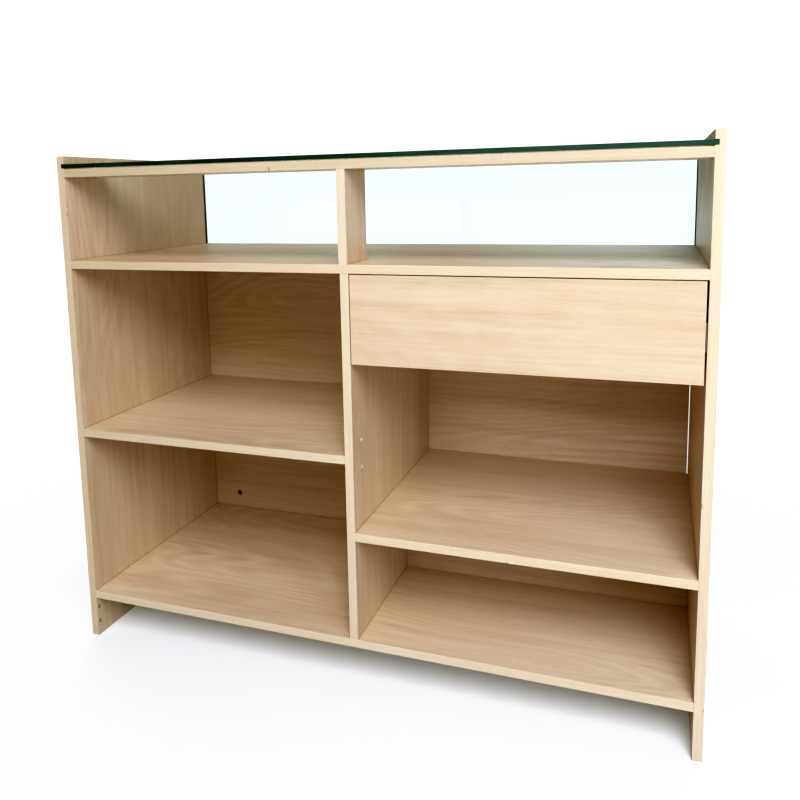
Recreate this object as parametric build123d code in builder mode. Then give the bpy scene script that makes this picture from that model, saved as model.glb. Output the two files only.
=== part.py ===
from build123d import *
import os

# Shop checkout counter with a glazed display top and one drawer.
# Millimetres. +Z is up, -Y is the staff side, +Y is the customer side, +X is
# to the right for somebody standing on the staff side.
# Origin: centre of the footprint, at floor level.

os.makedirs("parts", exist_ok=True)

LEFT, RIGHT = (-1, 0, 0), (1, 0, 0)
TO_STAFF, TO_CUSTOMER = (0, -1, 0), (0, 1, 0)
DOWN, UP = (0, 0, -1), (0, 0, 1)

# ---------------------------------------------------------------- overall size
W = 1200.0               # width over the side panels
D = 500.0                # depth over the side panels
H = 1000.0               # height of the side panels
T = 16.0                 # board thickness
BAND = 1.0               # edging thickness
BAND_R = 0.6             # rounding on the edging's long corners

XL, XR = -W / 2, W / 2           # outer faces of the side panels
XIL, XIR = XL + T, XR - T        # inner faces of the side panels
YF, YR = -D / 2, D / 2           # staff edge and customer edge

# Side panels: side, outer face, inner face, sign of X pointing outwards
SIDES = (("left", XL, XIL, -1), ("right", XR, XIR, 1))

# ------------------------------------------------------------- board positions
Z_BOTTOM = 100.0         # top face of the bottom shelf
Z_MID_L = 451.5          # top face of the left middle shelf
Z_MID_R = 307.5          # top face of the right middle shelf
Z_DISPLAY = 796.0        # top face of the display shelf
Z_RAIL = 959.0           # underside of the staff-side top rail
RAIL_D = 97.0            # depth of the rail and of the display post
DIV_X = 0.0              # centre of the divider
XDL, XDR = DIV_X - T / 2, DIV_X + T / 2  # faces of the divider
POST_X = -2.0            # centre of the display post
BACK_SETBACK = 4.0       # customer panel's outer face, in from the side panels' edges
Y_BACK = YR - BACK_SETBACK - T   # inner face of the customer panel
BACK_GAP = 2.0           # slit between customer panel and right side panel
FALSE_BACK_Y = 47.0      # staff face of the false back in the lower right bay

# ----------------------------------------------------------------------- glass
GLASS_T = 8.0
Z_GLASS = 976.5          # underside of the glass top
GLASS_GAP = 0.5          # glass top to each groove's floor, and to the customer edge
GLASS_BEVEL = 0.8
GROOVE_H = 8.5           # height of the glass grooves
GROOVE_D = 6.0           # depth of the glass grooves
PANE_T = 5.0             # upright customer-side pane
PANE_Y = 242.5           # middle of the pane's thickness
PANE_SEAT = 5.0          # pane's seat in the display shelf
PANE_SEAT_PLAY = 0.5     # extra width of the seat
PANE_END_GAP = 1.5       # pane's edge to the floor of its groove
PANE_TOP_GAP = 0.5
PANE_BEVEL = 0.5
STRIP_W = 8.0            # glazing strip, measured along the depth
STRIP_PROUD = 2.0        # its projection from the side panel
STRIP_WEB = 1.4          # its thickness behind the pane's edge
STRIP_BEVEL = 0.6
STRIP_GAP_LOW, STRIP_GAP_HIGH = 0.2, 0.6
PAD_R, PAD_INSET = 5.0, 40.0     # pads under the glass, in from the staff edge
PAD_X = (-540.0, -270.0, 0.0, 270.0, 540.0)

# ---------------------------------------------------------------------- drawer
XBL, XBR = XDR, XIR              # walls of the drawer bay
FX0, FX1 = XBL + 1.5, XBR - 3.0  # ends of the drawer front
Z_FRONT0, Z_FRONT1 = 620.0, 778.2
FRONT_CORNER_R, FRONT_EDGE_R = 0.8, 0.5
BOX_T = 12.0             # drawer box boards
BOX_Z0, BOX_Z1 = 632.0, 752.0
BOX_DEPTH = 450.0
BOX_BEVEL = 0.8          # along the top edges
BOTTOM_T = 3.2
BOTTOM_Z = 642.0
BOTTOM_PLAY = 0.1        # above and below the bottom in its grooves
BOX_GROOVE_D = 6.0       # depth of the grooves for the bottom
BOTTOM_TONGUE = 5.8      # how far the bottom enters them
RUNNER_W = 12.7          # runner's width between carcass and drawer box
RUNNER_Z = 690.0         # runner's centre height
RUNNER_Y0, RUNNER_Y1 = -230.0, 220.0
RUNNER_END = 215.4       # closed position of the moving members' rear ends

BX0, BX1 = XBL + RUNNER_W, XBR - RUNNER_W       # outer faces of the drawer box
BY0, BY1 = YF + T, YF + T + BOX_DEPTH           # staff and customer ends of the box
# Walls of the bay and of the box: side, face, sign of X pointing to the middle
RUNNER_SIDES = (("left", XBL, 1), ("right", XBR, -1))
BOX_SIDES = (("left", BX0, 1), ("right", BX1, -1))

# -------------------------------------------------------------------- fittings
FIT = 0.05               # radial play around shanks and dowels
HEAD_FIT = 0.1           # radial play around cams and screw heads
BORE_SPARE = 0.5         # bore beyond the tip of a dowel or short screw

CAM_R, CAM_DEPTH = 7.5, 13.0     # cam lock pockets
CAM_REACH = 34.0                 # cam centre to the joint
CAM_REACH_BACK = 37.5            # the same along the customer panel's lower edge
CAM_SUNK = 0.6                   # cam's face below the board's face
CAM_END_GAP = 0.2                # cam's inner end to the pocket's floor
CAM_SLOT_L, CAM_SLOT_W = 9.0, 7.6
BOLT_BORE_R = 4.0
BOLT_THREAD_R, BOLT_THREAD_L = 2.5, 10.0
BOLT_BORE_SPARE = 0.4
DOWEL_R, DOWEL_IN_PANEL, DOWEL_IN_BOARD = 4.0, 12.0, 18.0   # R is the bore's
DOWEL_BEVEL = 0.8
Y_FIX_F, Y_FIX_R = -206.0, 180.0 # staff-side and customer-side shelf fittings

CONFIRMAT_HEAD_R, CONFIRMAT_SHANK_R, CONFIRMAT_THREAD_R = 4.8, 3.5, 2.5
CONFIRMAT_THREAD_L = 30.0        # length inside the divider
CONFIRMAT_BORE_SPARE = 1.0
SCREW_R, SCREW_HEAD_R = 1.75, 3.5        # runner screws
PILOT_R = SCREW_R + FIT
FLAT_SCREW_L, DOME_SCREW_L = 13.5, 10.0
FLAT_HEAD_H, DOME_HEAD_H = 1.1, 3.1
BOX_SCREW_R, BOX_SCREW_HEAD_R = 2.0, 3.8
BOX_SCREW_L, FRONT_SCREW_L = 40.0, 24.0
PLUG_R, PLUG_L = 2.5, 5.0
PLUG_CAP_R, PLUG_CAP_H, PLUG_CAP_ROUND = 3.6, 0.9, 0.7
PLUG_BORE_L = 6.0

KICK_Z = (29.0, 61.0)            # kickboard dowel heights, one 32 mm step apart
KICK_Y = YF + T / 2              # second set of these bores, near the staff edge
KICK_DEPTH = 12.0

DIVIDER_SCREW_POINTS = [(DIV_X, y, Z_BOTTOM) for y in (-170.0, 0.0, 170.0)]
CARCASS_SCREW_Y = (-195.0, 5.0, 195.0)
DRAWER_SCREW_Y = (-200.0, -130.0, 175.0)
BOX_SCREW_Y = (BY0 + BOX_T / 2, BY1 - BOX_T / 2)
BOX_SCREW_Z = (655.0, 729.0)
FRONT_SCREWS = ((110.0, 672.0), (110.0, 726.0), (480.0, 672.0), (480.0, 726.0))  # x, z
PLUG_POINTS = [(XDR, -206.0, z) for z in (469.0, 418.0)]

# ---------------------------------------------------------------------- joints
# Cam joints: board with the cam, board with the bolt, mouth of the cam pocket,
# direction the pocket opens, direction of the bolt, reach.
cam_joints = []
# Dowels: board whose end holds the long part, board whose face holds the short
# part, point on the joint, direction from the first board into the second.
dowel_joints = []

# Shelf ends meet the panels: panel, its face, direction into it
END_LEFT = ("side_panel_left", XIL, -1)
END_RIGHT = ("side_panel_right", XIR, 1)
for board, z_top, ends in (
    ("bottom_shelf", Z_BOTTOM, (END_LEFT, END_RIGHT)),
    ("display_shelf", Z_DISPLAY, (END_LEFT, END_RIGHT)),
    ("mid_shelf_left", Z_MID_L, (END_LEFT, ("centre_divider", XDL, 1))),
    ("mid_shelf_right", Z_MID_R, (("centre_divider", XDR, -1), END_RIGHT)),
):
    for panel, x_end, way in ends:
        for y in (Y_FIX_F, Y_FIX_R):
            cam_joints.append((board, panel, (x_end - way * CAM_REACH, y, z_top - T),
                               DOWN, (way, 0, 0), CAM_REACH))
        dowel_joints.append((board, panel, (x_end, 0, z_top - T / 2), (way, 0, 0)))
for panel, x_end, way in (END_LEFT, END_RIGHT):
    cam_joints.append(("top_front_rail", panel, (x_end - way * CAM_REACH, Y_FIX_F, Z_RAIL),
                       DOWN, (way, 0, 0), CAM_REACH))
    dowel_joints.append(("top_front_rail", panel, (x_end, -172, Z_RAIL + T / 2), (way, 0, 0)))
for y in (-150.0, 150.0):
    cam_joints.append(("centre_divider", "display_shelf",
                       (XDR, y, Z_DISPLAY - T - CAM_REACH), RIGHT, UP, CAM_REACH))
for x in (-514.0, -60.0, 514.0):
    cam_joints.append(("back_panel", "bottom_shelf",
                       (x, Y_BACK, Z_BOTTOM + CAM_REACH_BACK), TO_STAFF, DOWN, CAM_REACH_BACK))
    cam_joints.append(("back_panel", "display_shelf",
                       (x, Y_BACK, Z_DISPLAY - T - CAM_REACH), TO_STAFF, UP, CAM_REACH))

dowel_joints.append(("centre_divider", "display_shelf", (DIV_X, 40, Z_DISPLAY - T), UP))
for y in (-225.0, -178.0):
    dowel_joints.append(("display_post", "display_shelf", (POST_X, y, Z_DISPLAY), DOWN))
    dowel_joints.append(("display_post", "top_front_rail", (POST_X, y, Z_RAIL), UP))
for x in (140.0, 450.0):
    y = FALSE_BACK_Y + T / 2
    dowel_joints.append(("false_back_right", "bottom_shelf", (x, y, Z_BOTTOM), DOWN))
    dowel_joints.append(("false_back_right", "mid_shelf_right", (x, y, Z_MID_R - T), UP))
for z in KICK_Z:
    for panel, x_end, way in (END_LEFT, END_RIGHT):
        dowel_joints.append(("customer_kickboard", panel, (x_end, Y_BACK + T / 2, z),
                             (way, 0, 0)))


# ==================================================================== helpers
def shifted(point, direction, length):
    """Point moved along a direction."""
    return tuple(p + d * length for p, d in zip(point, direction))


def reverse(direction):
    """The opposite direction."""
    return shifted((0, 0, 0), direction, -1)


def joint_point(mouth, out, bolt, reach):
    """Where a cam joint's bolt crosses from one board into the other."""
    return shifted(shifted(mouth, out, -T / 2), bolt, reach)


def planes_at(points, z_dir):
    """Planes at the points, all facing one way."""
    return [Plane(origin=point, z_dir=z_dir) for point in points]


def bore(points, out, radius, depth):
    """Blind bores whose mouths face `out`."""
    with Locations(*planes_at(points, out)):
        Hole(radius, depth)


def countersink(points, out, radius, head_radius):
    """Through bores for flat-headed screws, sunk on the face towards `out`."""
    with Locations(*planes_at(points, out)):
        CounterSinkHole(radius, head_radius, counter_sink_angle=90)


def cut_fittings(board):
    """Cam pockets, bolt bores and dowel bores of one board."""
    for holder, panel, mouth, out, bolt, reach in cam_joints:
        crossing = joint_point(mouth, out, bolt, reach)
        if holder == board:
            bore([mouth], out, CAM_R, CAM_DEPTH)
            bore([crossing], bolt, BOLT_BORE_R, reach)
        if panel == board:
            bore([crossing], reverse(bolt), BOLT_THREAD_R + FIT, BOLT_THREAD_L + BOLT_BORE_SPARE)
    for holder, panel, point, way in dowel_joints:
        if holder == board:
            bore([point], way, DOWEL_R, DOWEL_IN_BOARD + BORE_SPARE)
        if panel == board:
            bore([point], reverse(way), DOWEL_R, DOWEL_IN_PANEL + BORE_SPARE)


def write(builder, label):
    """Label the part and save it."""
    builder.part.label = label
    export_step(builder.part, f"parts/{label}.step")


def write_board(label, plane, across, along, thickness, grooves=None, holes=None):
    """Board drawn on a plane between two (start, end) pairs, then cut and saved.

    `grooves` and `holes` cut what is special to it, before and after the fittings.
    """
    with BuildPart() as board:
        with BuildSketch(plane):
            with Locations((sum(across) / 2, sum(along) / 2)):
                Rectangle(across[1] - across[0], along[1] - along[0])
        extrude(amount=thickness)
        if grooves:
            grooves()
        cut_fittings(label)
        if holes:
            holes()
    write(board, label)


def write_facing_board(label, x_range, y_staff, z_range, holes=None):
    """Upright board parallel to the staff edge; y_staff is its staff face."""
    write_board(label, Plane.XZ.offset(-y_staff), x_range, z_range, -T, holes=holes)


def write_edged_board(label, edging, x_range, y_end, z_range, grooves=None, holes=None):
    """Board that runs from the staff edge to y_end, with edging on its staff edge."""
    (x0, x1), (z0, z1) = x_range, z_range
    write_board(label, Plane.XY.offset(z0), x_range, (YF + BAND, y_end), z1 - z0, grooves, holes)

    long_axis = Axis.X if x1 - x0 > z1 - z0 else Axis.Z
    with BuildPart() as strip:
        with BuildSketch(Plane.XZ.offset(-YF)):
            with Locations(((x0 + x1) / 2, (z0 + z1) / 2)):
                Rectangle(x1 - x0, z1 - z0)
        extrude(amount=-BAND)
        fillet(strip.edges().filter_by(long_axis).group_by(Axis.Y)[0], BAND_R)
    write(strip, edging)


# ================================================================ side panels
# Each panel is cored 1 mm under size on its three banded edges. The glass top
# lies in a groove along the whole depth, the pane in an upright groove.
def write_side_panel(side, x_out, x_in, outward):
    x_groove = min(x_in, x_in + outward * GROOVE_D)
    z_pane = Z_DISPLAY - PANE_SEAT - 0.1
    corner = (Align.MIN, Align.CENTER, Align.MIN)

    def grooves():
        with Locations((x_groove, 0, Z_GLASS)):
            Box(GROOVE_D, D, GROOVE_H, align=corner, mode=Mode.SUBTRACT)
        with Locations((x_groove, PANE_Y, z_pane)):
            Box(GROOVE_D, STRIP_W, Z_GLASS - z_pane, align=corner, mode=Mode.SUBTRACT)

    def holes():
        inward = (-outward, 0, 0)
        bore([(x_in, KICK_Y, z) for z in KICK_Z], inward, DOWEL_R, KICK_DEPTH)
        if side == "right":
            # pilot holes for the drawer runner
            bore([(x_in, y, RUNNER_Z) for y in CARCASS_SCREW_Y], inward,
                 PILOT_R, FLAT_SCREW_L + BORE_SPARE)

    write_board(f"side_panel_{side}", Plane.YZ.offset(min(x_out, x_in)),
                (YF + BAND, YR - BAND), (0, H - BAND), T, grooves, holes)


def is_outer_long_edge(edge):
    """Long edge of the wrap-round edging on its staff, customer or top face."""
    middle = edge.center()
    upright = abs(abs(middle.Y) - D / 2) < 1e-3 and abs(middle.Z - H / 2) < 2
    top = abs(middle.Z - H) < 1e-3 and abs(middle.Y) < 1e-3
    return (upright or top) and edge.length > T + 1


# One strip wraps the staff, top and customer edges of each side panel.
def write_side_edging(side, x_out, x_in):
    with BuildPart() as edging:
        with BuildSketch(Plane.YZ.offset(min(x_out, x_in))) as wrap:
            with Locations((0, H / 2)):
                Rectangle(D, H)
            fillet(wrap.vertices().group_by(Axis.Y)[-1], BAND)
            with Locations((0, (H - BAND) / 2)):
                Rectangle(D - 2 * BAND, H - BAND, mode=Mode.SUBTRACT)
        extrude(amount=T)
        straight_edges = edging.edges().filter_by(GeomType.LINE)
        fillet(straight_edges.filter_by(is_outer_long_edge), BAND_R)
        with Locations((x_in, 0, Z_GLASS)):
            Box(2 * GROOVE_D, D, GROOVE_H, align=(Align.CENTER, Align.CENTER, Align.MIN),
                mode=Mode.SUBTRACT)
    write(edging, f"edging_side_{side}")


for side, x_out, x_in, outward in SIDES:
    write_side_panel(side, x_out, x_in, outward)
    write_side_edging(side, x_out, x_in)


# ========================================= shelves, rail, divider and their edging
def bottom_shelf_holes():
    countersink([shifted(point, DOWN, T) for point in DIVIDER_SCREW_POINTS], DOWN,
                CONFIRMAT_SHANK_R + FIT, CONFIRMAT_HEAD_R + HEAD_FIT)


def pane_seat():
    with Locations((0, PANE_Y, Z_DISPLAY)):
        Box(XIR - XIL, PANE_T + PANE_SEAT_PLAY, PANE_SEAT,
            align=(Align.CENTER, Align.CENTER, Align.MAX), mode=Mode.SUBTRACT)


def divider_holes():
    bore(DIVIDER_SCREW_POINTS, DOWN,
         CONFIRMAT_THREAD_R + FIT, CONFIRMAT_THREAD_L + CONFIRMAT_BORE_SPARE)
    bore([(XDR, y, RUNNER_Z) for y in CARCASS_SCREW_Y], RIGHT,
         PILOT_R, FLAT_SCREW_L + BORE_SPARE)
    bore(PLUG_POINTS, RIGHT, PLUG_R + FIT, PLUG_BORE_L)


write_edged_board("bottom_shelf", "edging_bottom_shelf", (XIL, XIR), YR - BACK_SETBACK,
                  (Z_BOTTOM - T, Z_BOTTOM), holes=bottom_shelf_holes)
write_edged_board("display_shelf", "edging_display_shelf", (XIL, XIR), YR,
                  (Z_DISPLAY - T, Z_DISPLAY), grooves=pane_seat)
write_edged_board("mid_shelf_left", "edging_mid_shelf_left", (XIL, XDL), Y_BACK,
                  (Z_MID_L - T, Z_MID_L))
write_edged_board("mid_shelf_right", "edging_mid_shelf_right", (XDR, XIR), Y_BACK,
                  (Z_MID_R - T, Z_MID_R))
write_edged_board("top_front_rail", "edging_top_rail", (XIL, XIR), YF + RAIL_D,
                  (Z_RAIL, Z_RAIL + T))
write_edged_board("centre_divider", "edging_divider", (XDL, XDR), Y_BACK,
                  (Z_BOTTOM, Z_DISPLAY - T), holes=divider_holes)
write_edged_board("display_post", "edging_display_post", (POST_X - T / 2, POST_X + T / 2),
                  YF + RAIL_D, (Z_DISPLAY, Z_RAIL))

# ======================================================= customer side, false back
write_facing_board("back_panel", (XIL, XIR - BACK_GAP), Y_BACK, (Z_BOTTOM, Z_DISPLAY - T))
write_facing_board("false_back_right", (XDR, XIR), FALSE_BACK_Y, (Z_BOTTOM, Z_MID_R - T))
write_facing_board("customer_kickboard", (XIL, XIR), Y_BACK, (0, Z_BOTTOM - T))

# ====================================================================== glass
with BuildPart() as glass_top:
    with BuildSketch(Plane.XY.offset(Z_GLASS)):
        with Locations((0, -GLASS_GAP / 2)):
            Rectangle(XIR - XIL + 2 * GROOVE_D - 2 * GLASS_GAP, D - GLASS_GAP)
    extrude(amount=GLASS_T)
    for face in (-1, 0):
        chamfer(glass_top.edges().group_by(Axis.Z)[face], GLASS_BEVEL)
write(glass_top, "glass_top")

PANE_Z0, PANE_Z1 = Z_DISPLAY - PANE_SEAT, Z_GLASS - PANE_TOP_GAP
with BuildPart() as glass_customer_pane:
    with BuildSketch(Plane.XZ.offset(-(PANE_Y - PANE_T / 2))):
        with Locations((0, (PANE_Z0 + PANE_Z1) / 2)):
            Rectangle(XIR - XIL + 2 * GROOVE_D - 2 * PANE_END_GAP, PANE_Z1 - PANE_Z0)
    extrude(amount=-PANE_T)
    for face in (0, -1):
        chamfer(glass_customer_pane.edges().group_by(Axis.Y)[face], PANE_BEVEL)
write(glass_customer_pane, "glass_customer_pane")

# U-shaped strips grip the pane's upright edges and line their grooves.
with BuildPart() as glazing_strips:
    for side, x_out, x_in, outward in SIDES:
        x_floor = x_in + outward * GROOVE_D
        x_lip = x_in - outward * STRIP_PROUD
        x_bevel = x_lip + outward * STRIP_BEVEL
        x_web = x_floor - outward * STRIP_WEB
        y0, y1 = PANE_Y - STRIP_W / 2, PANE_Y + STRIP_W / 2
        y_pane0, y_pane1 = PANE_Y - PANE_T / 2, PANE_Y + PANE_T / 2
        with BuildSketch(Plane.XY.offset(Z_DISPLAY + STRIP_GAP_LOW)):
            with BuildLine():
                Polyline((x_floor, y0), (x_bevel, y0), (x_lip, y0 + STRIP_BEVEL),
                         (x_lip, y_pane0), (x_web, y_pane0), (x_web, y_pane1), (x_lip, y_pane1),
                         (x_lip, y1 - STRIP_BEVEL), (x_bevel, y1), (x_floor, y1), close=True)
            make_face()
        extrude(amount=Z_GLASS - STRIP_GAP_HIGH - Z_DISPLAY - STRIP_GAP_LOW)
write(glazing_strips, "glazing_strips")

# Pads carry the glass top above the rail.
with BuildPart() as glass_pads:
    with BuildSketch(Plane.XY.offset(Z_RAIL + T)):
        with Locations(*[(x, YF + PAD_INSET) for x in PAD_X]):
            Circle(PAD_R)
    extrude(amount=Z_GLASS - Z_RAIL - T)
write(glass_pads, "glass_pads")


# ===================================================================== drawer
def drawer_front_holes():
    bore([(x, YF + T, z) for x, z in FRONT_SCREWS], TO_CUSTOMER,
         PILOT_R, FRONT_SCREW_L - BOX_T + BORE_SPARE)


write_facing_board("drawer_front", (FX0 + BAND, FX1 - BAND), YF,
                   (Z_FRONT0 + BAND, Z_FRONT1 - BAND), holes=drawer_front_holes)


def is_front_rim(edge):
    """Outer edge of the drawer front's edging, on the staff face."""
    middle = edge.center()
    on_end = min(abs(middle.X - FX0), abs(middle.X - FX1)) < 0.4
    on_top_or_bottom = min(abs(middle.Z - Z_FRONT0), abs(middle.Z - Z_FRONT1)) < 0.4
    return abs(middle.Y - YF) < 1e-3 and (on_end or on_top_or_bottom)


with BuildPart() as edging_drawer_front:
    with BuildSketch(Plane.XZ.offset(-YF)) as ring:
        with Locations(((FX0 + FX1) / 2, (Z_FRONT0 + Z_FRONT1) / 2)):
            Rectangle(FX1 - FX0, Z_FRONT1 - Z_FRONT0)
            fillet(ring.vertices(), FRONT_CORNER_R)
            Rectangle(FX1 - FX0 - 2 * BAND, Z_FRONT1 - Z_FRONT0 - 2 * BAND, mode=Mode.SUBTRACT)
    extrude(amount=-T)
    fillet(edging_drawer_front.edges().filter_by(is_front_rim), FRONT_EDGE_R)
write(edging_drawer_front, "edging_drawer_front")


def cut_bottom_groove(x, y, size_x, size_y):
    """Groove for the drawer bottom, centred on a box board's inner face."""
    with Locations((x, y, BOTTOM_Z - BOTTOM_PLAY)):
        Box(size_x, size_y, BOTTOM_T + 2 * BOTTOM_PLAY,
            align=(Align.CENTER, Align.CENTER, Align.MIN), mode=Mode.SUBTRACT)


def write_drawer_side(side, x_out, inward):
    x_inner = x_out + inward * BOX_T
    out = (-inward, 0, 0)
    with BuildPart() as board:
        with BuildSketch(Plane.YZ.offset(min(x_out, x_inner))):
            with Locations(((BY0 + BY1) / 2, (BOX_Z0 + BOX_Z1) / 2)):
                Rectangle(BY1 - BY0, BOX_Z1 - BOX_Z0)
        extrude(amount=BOX_T)
        chamfer(board.edges().filter_by(Axis.Y).group_by(Axis.Z)[-1], BOX_BEVEL)
        cut_bottom_groove(x_inner, (BY0 + BY1) / 2, 2 * BOX_GROOVE_D, BY1 - BY0)
        # screws into the box front and back, then runner screws
        countersink([(x_out, y, z) for y in BOX_SCREW_Y for z in BOX_SCREW_Z], out,
                    BOX_SCREW_R + FIT, BOX_SCREW_HEAD_R + HEAD_FIT)
        bore([(x_out, y, RUNNER_Z) for y in DRAWER_SCREW_Y], out,
             PILOT_R, DOME_SCREW_L + BORE_SPARE)
    write(board, f"drawer_side_{side}")


def write_drawer_end(label, y_staff, y_inner):
    with BuildPart() as board:
        with BuildSketch(Plane.XZ.offset(-y_staff)):
            with Locations(((BX0 + BX1) / 2, (BOX_Z0 + BOX_Z1) / 2)):
                Rectangle(BX1 - BX0 - 2 * BOX_T, BOX_Z1 - BOX_Z0)
        extrude(amount=-BOX_T)
        chamfer(board.edges().filter_by(Axis.X).group_by(Axis.Z)[-1], BOX_BEVEL)
        cut_bottom_groove((BX0 + BX1) / 2, y_inner, BX1 - BX0, 2 * BOX_GROOVE_D)
        for side, x_out, inward in BOX_SIDES:
            x_end = x_out + inward * BOX_T
            bore([(x_end, y_staff + BOX_T / 2, z) for z in BOX_SCREW_Z], (-inward, 0, 0),
                 BOX_SCREW_R + FIT, BOX_SCREW_L - BOX_T + BORE_SPARE)
        if label == "drawer_box_front":
            countersink([(x, y_inner, z) for x, z in FRONT_SCREWS], TO_CUSTOMER,
                        BOX_SCREW_R + FIT, BOX_SCREW_HEAD_R + HEAD_FIT)
    write(board, label)


for side, x_out, inward in BOX_SIDES:
    write_drawer_side(side, x_out, inward)
write_drawer_end("drawer_box_front", BY0, BY0 + BOX_T)
write_drawer_end("drawer_back", BY1 - BOX_T, BY1 - BOX_T)

BOTTOM_INSET = BOX_T - BOTTOM_TONGUE
write_board("drawer_bottom", Plane.XY.offset(BOTTOM_Z),
            (BX0 + BOTTOM_INSET, BX1 - BOTTOM_INSET),
            (BY0 + BOTTOM_INSET, BY1 - BOTTOM_INSET), BOTTOM_T)

# ==================================================================== runners
# Profiles are drawn across the runner as (u, v): u from the carcass wall towards
# the drawer, v up from the runner's centre. Each member is bent sheet steel.
OUTER_T, MIDDLE_T, INNER_T, CAGE_T = 1.2, 1.0, 1.2, 0.5
MIDDLE_WEB_U, INNER_WEB_U = 2.7, 12.1    # upright webs of the moving members
OUTER_BALL_R, INNER_BALL_R = 1.5, 1.3
OUTER_BALL_U, OUTER_BALL_V = 5.0, 19.7
INNER_BALL_U, INNER_BALL_V = 8.2, 15.7
CAGE_Y0, CAGE_Y1 = -100.0, 90.0
BALL_Y = [-95.0 + 30.0 * i for i in range(7)]
CAGE_HOLE_PLAY, CAGE_CUT_H = 0.15, 2.0
MEMBER_CUT_L = 4.0                       # length of the cutters through the webs
SLOT_L, SLOT_W = 14.0, 5.0               # adjustment slots
BUMPER_U, BUMPER_W, BUMPER_H, BUMPER_R = 6.4, 10.4, 24.0, 2.0
BUMPER_GAP = 0.1

OUTER_PATH = ((9.8, 20.6), (9.3, 21.9), (0.6, 21.9), (0.6, -21.9), (9.3, -21.9), (9.8, -20.6))
MIDDLE_PATH = ((10.8, 16.9), (10.3, 17.6), (MIDDLE_WEB_U, 17.6),
               (MIDDLE_WEB_U, -17.6), (10.3, -17.6), (10.8, -16.9))
INNER_PATH = ((5.6, 13.7), (INNER_WEB_U, 13.7), (INNER_WEB_U, -13.7), (5.6, -13.7))
CAGE_OUTER_PATH = ((7.6, OUTER_BALL_V), (1.7, OUTER_BALL_V),
                   (1.7, -OUTER_BALL_V), (7.6, -OUTER_BALL_V))
CAGE_INNER_PATH = ((10.0, INNER_BALL_V), (4.0, INNER_BALL_V),
                   (4.0, -INNER_BALL_V), (10.0, -INNER_BALL_V))

# Members: name, path, sheet thickness, rear end, then the round holes in the web:
# their u, radius and places along y; last the places of the slots.
RUNNER_MEMBERS = (
    # holes seat the screw heads
    ("cabinet", OUTER_PATH, OUTER_T, RUNNER_Y1,
     OUTER_T, SCREW_HEAD_R + HEAD_FIT, CARCASS_SCREW_Y, (-160.0, 60.0, 150.0)),
    ("middle", MIDDLE_PATH, MIDDLE_T, RUNNER_END,
     MIDDLE_WEB_U, 5.0, (-195.0, -60.0, 60.0, 175.0), ()),
    ("drawer", INNER_PATH, INNER_T, RUNNER_END,
     INNER_WEB_U, 1.9, DRAWER_SCREW_Y, ()),
)


def placed_path(path, x_wall, inward):
    """Profile points carried to one side's runner, as (x, z)."""
    return [(x_wall + inward * u, RUNNER_Z + v) for u, v in path]


def ball_centres(ball_u, ball_v):
    """Centres of one stage's balls in both runners."""
    return [(x_wall + inward * ball_u, y, RUNNER_Z + v)
            for side, x_wall, inward in RUNNER_SIDES
            for v in (-ball_v, ball_v) for y in BALL_Y]


def write_runner_member(label, x_wall, inward, path, thickness, y_end,
                        hole_u, hole_r, hole_y, slot_y):
    way = (inward, 0, 0)
    with BuildPart() as member:
        with BuildSketch(Plane.XZ.offset(-RUNNER_Y0)):
            with BuildLine():
                Polyline(*placed_path(path, x_wall, inward))
            trace(line_width=thickness)
        extrude(amount=-(y_end - RUNNER_Y0))
        x_hole = x_wall + inward * hole_u
        with Locations(*planes_at([(x_hole, y, RUNNER_Z) for y in hole_y], way)):
            Cylinder(hole_r, MEMBER_CUT_L, mode=Mode.SUBTRACT)
        if slot_y:
            x_slot = x_wall + inward * thickness / 2
            with Locations(*[Plane(origin=(x_slot, y, RUNNER_Z), x_dir=(0, 1, 0), z_dir=way)
                             for y in slot_y]):
                Box(SLOT_L, SLOT_W, MEMBER_CUT_L, mode=Mode.SUBTRACT)
    write(member, label)


for side, x_wall, inward in RUNNER_SIDES:
    for name, *details in RUNNER_MEMBERS:
        write_runner_member(f"runner_{name}_{side}", x_wall, inward, *details)


# Ball cages: one folded strip per side and stage, pierced for its balls.
def write_ball_stage(stage, cage_path, ball_u, ball_v, ball_r):
    centres = ball_centres(ball_u, ball_v)
    with BuildPart() as cages:
        for side, x_wall, inward in RUNNER_SIDES:
            with BuildSketch(Plane.XZ.offset(-CAGE_Y0)):
                with BuildLine():
                    Polyline(*placed_path(cage_path, x_wall, inward))
                trace(line_width=CAGE_T)
            extrude(amount=-(CAGE_Y1 - CAGE_Y0))
        with Locations(*centres):
            Cylinder(ball_r + CAGE_HOLE_PLAY, CAGE_CUT_H, mode=Mode.SUBTRACT)
    write(cages, f"ball_cages_{stage}")

    with BuildPart() as balls:
        with Locations(*centres):
            Sphere(ball_r)
    write(balls, f"bearing_balls_{stage}")


write_ball_stage("outer", CAGE_OUTER_PATH, OUTER_BALL_U, OUTER_BALL_V, OUTER_BALL_R)
write_ball_stage("inner", CAGE_INNER_PATH, INNER_BALL_U, INNER_BALL_V, INNER_BALL_R)

# Rubber blocks stop the moving members at the closed position.
with BuildPart() as runner_bumpers:
    for side, x_wall, inward in RUNNER_SIDES:
        with BuildSketch(Plane.XZ.offset(-(RUNNER_END + BUMPER_GAP))):
            with Locations((x_wall + inward * BUMPER_U, RUNNER_Z)):
                RectangleRounded(BUMPER_W, BUMPER_H, BUMPER_R)
        extrude(amount=-(RUNNER_Y1 - RUNNER_END - BUMPER_GAP))
write(runner_bumpers, "runner_bumpers")


# =================================================================== fittings
# Single fittings stand on the joint plane with their tips towards +Z.
def cut_cross(length, width, height):
    """Cross recess centred on the current location."""
    Box(length, width, height, mode=Mode.SUBTRACT)
    Box(width, length, height, mode=Mode.SUBTRACT)


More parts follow.
